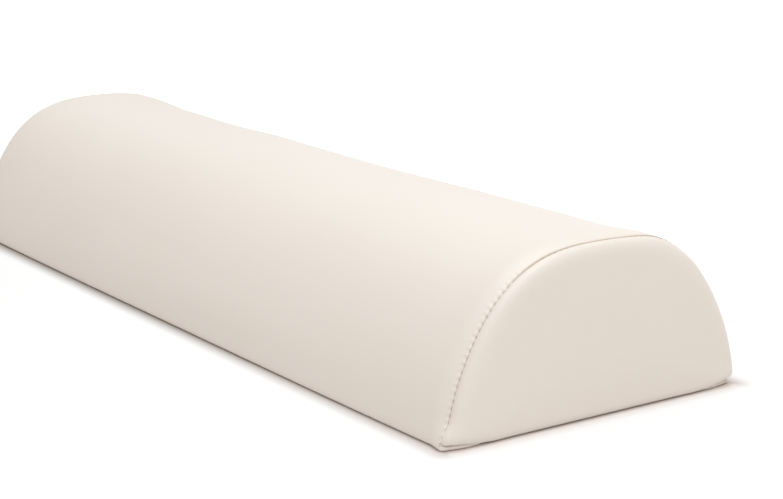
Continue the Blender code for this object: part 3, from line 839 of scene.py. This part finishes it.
def zipCoil(name, node, half):  # one long flattened spiral; its heads meet the other coil's
    look = zipLook
    count = int(2 * filling["innerX"] / look["pitch"]) - 1
    stand = zipFrame(0.0, (look["coilLow"] + look["coilHigh"]) / 2)
    up, out, centre = (stand.col[index].xyz for index in (1, 2, 3))
    high = (look["coilHigh"] - look["coilLow"] - look["coilWire"]) / 2
    across, wide = (look["head"] + look["heel"]) / 2, (look["heel"] - look["head"]) / 2
    curve = bpy.data.curves.new(name, "CURVE")
    curve.dimensions = "3D"
    curve.bevel_depth, curve.bevel_resolution, curve.use_fill_caps = look["coilWire"], 1, True
    spline = curve.splines.new("POLY")
    spline.points.add(count * look["turnPoints"] - 1)
    start = half * look["pitch"] / 4 - filling["innerX"]  # the two coils' turns alternate
    for index, point in enumerate(spline.points):
        turn = index / look["turnPoints"]
        angle = 2 * math.pi * turn
        along = Vector((start + look["pitch"] * (turn + look["firstTurn"]), 0, 0))
        reach = up * (half * (across + wide * math.cos(angle)))
        point.co = (*(along + centre + reach + out * (high * math.sin(angle))), 1)
    curve.materials.append(coilNylon)
    made = bpy.data.objects.new(name, curve)
    scene.collection.objects.link(made)
    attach(made, "cover")
    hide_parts(node)


def topstitch(name, node, half):
    look = zipLook
    run = filling["hemX"] - look["stitchPitch"]
    count = round(2 * run / look["stitchPitch"])
    outer = outline.point(half * zipWay["topstitch"], look["stitchDepth"])
    inner = outline.point(half * zipWay["topstitch"], form["leather"])
    along, out = Vector((1, 0, 0)), (Vector((0, *outer)) - Vector((0, *inner))).normalized()
    stands = [standAt(sewn(-run + 2 * run * index / count, *outer), along, out.cross(along), out)
              for index in range(count + 1)]
    stitchLine(name, node, stands, look["stitch"], look["thread"], look["stitchDip"])


# The slider's and the pull's corners are x, y and rounding, counterclockwise; holes run clockwise.
sliderLook = {
    "x": -0.2875, "edge": 0.00030, "edgeSteps": 2, "cornerSteps": 6, "weldGap": 2e-6,
    "plate": ((0.0055, -0.0046, 0.0020), (0.0055, 0.0046, 0.0020), (-0.0055, 0.0044, 0.0014),
              (-0.0055, -0.0044, 0.0014)),
    "top": (0.0025, 0.0037), "bottom": (-0.0022, -0.0010),
    "wallPlace": (-0.0001, 0.00405, 0.0016), "wallSize": (0.0082, 0.0007, 0.0024),
    "postPlace": (0.0035, 0.0, 0.00075), "postSize": (0.0026, 0.0002, 0.0045), "barEdge": 0.00006,
    "archFoot": 0.0032, "archReach": 0.0030, "archSize": (0.0010, 0.0020), "archRound": 0.0003,
    "archSteps": 20,
    "hinge": 0.0047, "thick": 0.0012,
    "tab": ((0.0006, -0.0031, 0.0012), (0.0006, 0.0031, 0.0012), (-0.0056, 0.0031, 0.0012),
            (-0.0085, 0.0020, 0.0040), (-0.0140, 0.0020, 0.0060), (-0.0200, 0.0031, 0.0040),
            (-0.0270, 0.0031, 0.0030), (-0.0270, -0.0031, 0.0030), (-0.0200, -0.0031, 0.0040),
            (-0.0140, -0.0020, 0.0060), (-0.0085, -0.0020, 0.0040), (-0.0056, -0.0031, 0.0012)),
    "window": ((-0.0006, -0.0016, 0.0005), (-0.00523, -0.0016, 0.0005),
               (-0.00523, 0.0016, 0.0005), (-0.0006, 0.0016, 0.0005)),
    "hole": ((-0.0221, -0.0013, 0.0013), (-0.0247, -0.0013, 0.0013), (-0.0247, 0.0013, 0.0013),
             (-0.0221, 0.0013, 0.0013)),
}


def roundedLoop(corners):
    points, steps = [], sliderLook["cornerSteps"]
    for index, (x, y, radius) in enumerate(corners):
        corner = Vector((x, y))
        before, after = ((Vector(corners[(index + step) % len(corners)][:2]) - corner).normalized()
                         for step in (-1, 1))
        half = before.angle(after) / 2
        centre = corner + (before + after).normalized() * radius / math.sin(half)
        start, end = (corner + way * radius / math.tan(half) - centre for way in (before, after))
        turn = math.atan2(start.cross(end), start.dot(end))
        for step in range(steps + 1):
            angle = math.atan2(start.y, start.x) + turn * step / steps
            point = centre + Vector((math.cos(angle), math.sin(angle))) * radius
            if all((point - points[which]).length > weldGap for which in (0, -1) if points):
                points.append(point)
    return points


def addCasting(shape, loops, low, high):  # a flat casting with rounded edges
    edge = sliderLook["edge"]
    flat = bpy.data.curves.new("casting", "CURVE")
    flat.dimensions, flat.fill_mode = "2D", "BOTH"
    flat.extrude, flat.bevel_depth, flat.offset = (high - low) / 2 - edge, edge, -edge
    flat.bevel_resolution = sliderLook["edgeSteps"]
    for loop in loops:
        spline = flat.splines.new("POLY")
        spline.points.add(len(loop) - 1)
        for point, spot in zip(spline.points, loop):
            point.co = (*spot, 0, 1)
        spline.use_cyclic_u = True
    guide = bpy.data.objects.new("casting", flat)
    scene.collection.objects.link(guide)
    solid = guide.evaluated_get(bpy.context.evaluated_depsgraph_get())
    mesh = bpy.data.meshes.new_from_object(solid)
    mesh.transform(Matrix.Translation((0, 0, (low + high) / 2)))
    shape.from_mesh(mesh)
    bpy.data.objects.remove(guide)
    bmesh.ops.remove_doubles(shape, verts=shape.verts, dist=sliderLook["weldGap"])


def addBar(shape, place, size):
    stand = Matrix.Translation(place) @ Matrix.Diagonal((*size, 1))
    verts = bmesh.ops.create_cube(shape, size=1, matrix=stand)["verts"]
    edges = list({edge for vert in verts for edge in vert.link_edges})
    bmesh.ops.bevel(shape, geom=edges, offset=sliderLook["barEdge"], segments=2, profile=0.5,
                    affect="EDGES", material=-1)


def addArch(shape):  # the bridge over the pull's bar
    look = sliderLook
    foot = Vector((look["archReach"], 0, look["archFoot"]))
    stand = Matrix.Translation(foot) @ Matrix.Diagonal((*look["archSize"], 1, 1))
    grid = bmesh.ops.create_grid(shape, x_segments=1, y_segments=1, size=0.5, matrix=stand)
    rounded = bmesh.ops.bevel(shape, geom=grid["verts"], offset=look["archRound"], segments=3,
                              profile=0.5, affect="VERTICES", material=-1)
    faces = list({face for vert in rounded["verts"] for face in vert.link_faces})
    bmesh.ops.spin(shape, geom=faces, cent=(0, 0, look["archFoot"]), axis=(0, -1, 0),
                   angle=math.pi, steps=look["archSteps"])


def makeCasting(name, shape, height, body, node):
    shape.transform(zipFrame(sliderLook["x"], height))
    shape.normal_update()
    made = makeObject(name, shape, nickel, body, node)
    made.data.set_sharp_from_angle(angle=sharpAngle)


def zipSlider():
    look = sliderLook
    shape = bmesh.new()
    for plate in ("top", "bottom"):
        addCasting(shape, [roundedLoop(look["plate"])], *look[plate])
    for side in (-1, 1):
        x, y, z = look["wallPlace"]
        addBar(shape, (x, side * y, z), look["wallSize"])
    addBar(shape, look["postPlace"], look["postSize"])
    addArch(shape)
    makeCasting("zipSlider", shape, 0.0, "zip_slider", "zip_slider_body")


def zipPull():
    look = sliderLook
    shape = bmesh.new()
    loops = [roundedLoop(look[part]) for part in ("tab", "window", "hole")]
    addCasting(shape, loops, -look["thick"] / 2, look["thick"] / 2)
    makeCasting("zipPull", shape, look["hinge"], "zip_pull", "zip_pull_tab")


for halfName, half in (("Upper", 1), ("Lower", -1)):
    zipTape("zipTape" + halfName, "zip_tape_" + halfName.lower(), half)
    zipCoil("zipCoil" + halfName, "zip_coil_" + halfName.lower(), half)
    topstitch("topstitch" + halfName, "zip_topstitch_" + halfName.lower(), half)
zipSlider()
zipPull()
print("zip done")

# A white floor that keeps the bolster's shadow, with a painted shadow around its footprint, and
# soft light from above.
studio = {"floorRadius": 5.0, "floorColor": (0.86, 0.86, 0.86, 1), "floorRoughness": 0.9,
          "floorSeen": (0.56, 0.56, 0.56, 1), "frontShade": (0.403, 0.356, 0.325, 1),
          "endShade": (0.84, 0.76, 0.72, 1), "floorGlow": 0.42, "footprint": (0.2995, 0.0985),
          "shadowReach": 0.016, "farFrom": 0.1, "farRun": 0.6, "paleFrom": -0.05, "paleRun": 0.35,
          "paleShare": 0.55, "leastGap": 0.0001,
          "worldLight": 0.537, "worldColor": (1.0, 0.891, 0.827, 1), "lampAim": (0, 0, 0.05),
          "keyPower": 9.3, "keyPlace": (0.0, 0.0, 1.6), "keySize": 1.4,
          "keyColor": (0.808, 0.932, 1.0),
          "endPower": 11.3, "endPlace": (0.90, -0.17, 1.40), "endSize": 1.4,
          "endColor": (0.895, 0.962, 1.0)}


def softLight(name, place, size, power, tint):
    lamp = bpy.data.lights.new(name, "AREA")
    lamp.shape, lamp.size, lamp.energy, lamp.color = "DISK", size, power, tint
    made = bpy.data.objects.new(name, lamp)
    made.location = place
    made.rotation_mode = "QUATERNION"
    aim = Vector(studio["lampAim"]) - Vector(place)
    made.rotation_quaternion = aim.to_track_quat("-Z", "Y")
    scene.collection.objects.link(made)


def seenDirectly(tree):  # camera, glossy and transmission rays see the white background
    rays = tree.nodes.new("ShaderNodeLightPath").outputs
    camera, glossy, clear = (Wire(tree, rays[name]) for name in
                             ("Is Camera Ray", "Is Glossy Ray", "Is Transmission Ray"))
    return (camera + glossy + clear).clamped()


def floorPaint():
    paint, shader, place = newMaterial("paperFloor", {
        "Roughness": studio["floorRoughness"], "Specular IOR Level": 0.0,
        "Emission Color": (1, 1, 1, 1)})
    sight = seenDirectly(place.tree)
    ways = place.split()
    sides = [way.math("ABSOLUTE", way, 0.0) for way in ways[:2]]
    gaps = [side.math("MAXIMUM", side - edge, 0.0)
            for side, edge in zip(sides, studio["footprint"])]
    # painted shadow: seen by the camera, the floor is painted darker and warmer near the bolster's
    # footprint, and its glow only starts beyond it
    away = (gaps[0] * gaps[0] + gaps[1] * gaps[1]) ** 0.5
    near = (away / studio["shadowReach"]).clamped()
    near = near * near * (3.0 - 2.0 * near)
    far = ((away - studio["farFrom"]) / studio["farRun"]).clamped()
    glow = near * studio["floorGlow"] + far * (1.0 - studio["floorGlow"])
    # the painted shadow is darkest along the front and paler towards the near end
    pale = ((ways[0] - studio["paleFrom"]) / studio["paleRun"]).clamped() * studio["paleShare"]
    atEnd = place.math("MAXIMUM", gaps[0] / (gaps[0] + gaps[1] + studio["leastGap"]), pale)
    shade = near.mixed(atEnd.mixed(studio["frontShade"], studio["endShade"]), studio["floorSeen"])
    connect(shader, {"Base Color": sight.mixed(studio["floorColor"], shade),
                     "Emission Strength": glow * sight})
    return paint


def makeStudio():
    world = bpy.data.worlds.new("studio")
    world.use_nodes = True
    scene.world = world
    back = world.node_tree.nodes["Background"]
    sight = seenDirectly(world.node_tree)
    strength = sight * (1.0 - studio["worldLight"]) + studio["worldLight"]
    connect(back, {"Color": sight.mixed(studio["worldColor"], (1, 1, 1, 1)), "Strength": strength})

    shape = bmesh.new()
    bmesh.ops.create_circle(shape, cap_ends=True, segments=64, radius=studio["floorRadius"])
    mesh = bpy.data.meshes.new("floor")
    shape.to_mesh(mesh)
    shape.free()
    mesh.materials.append(floorPaint())
    floor = bpy.data.objects.new("floor", mesh)
    scene.collection.objects.link(floor)
    for lamp in ("key", "end"):
        values = (studio[lamp + what] for what in ("Place", "Size", "Power", "Color"))
        softLight(lamp + "Light", *values)


makeStudio()
print("floor and light done")
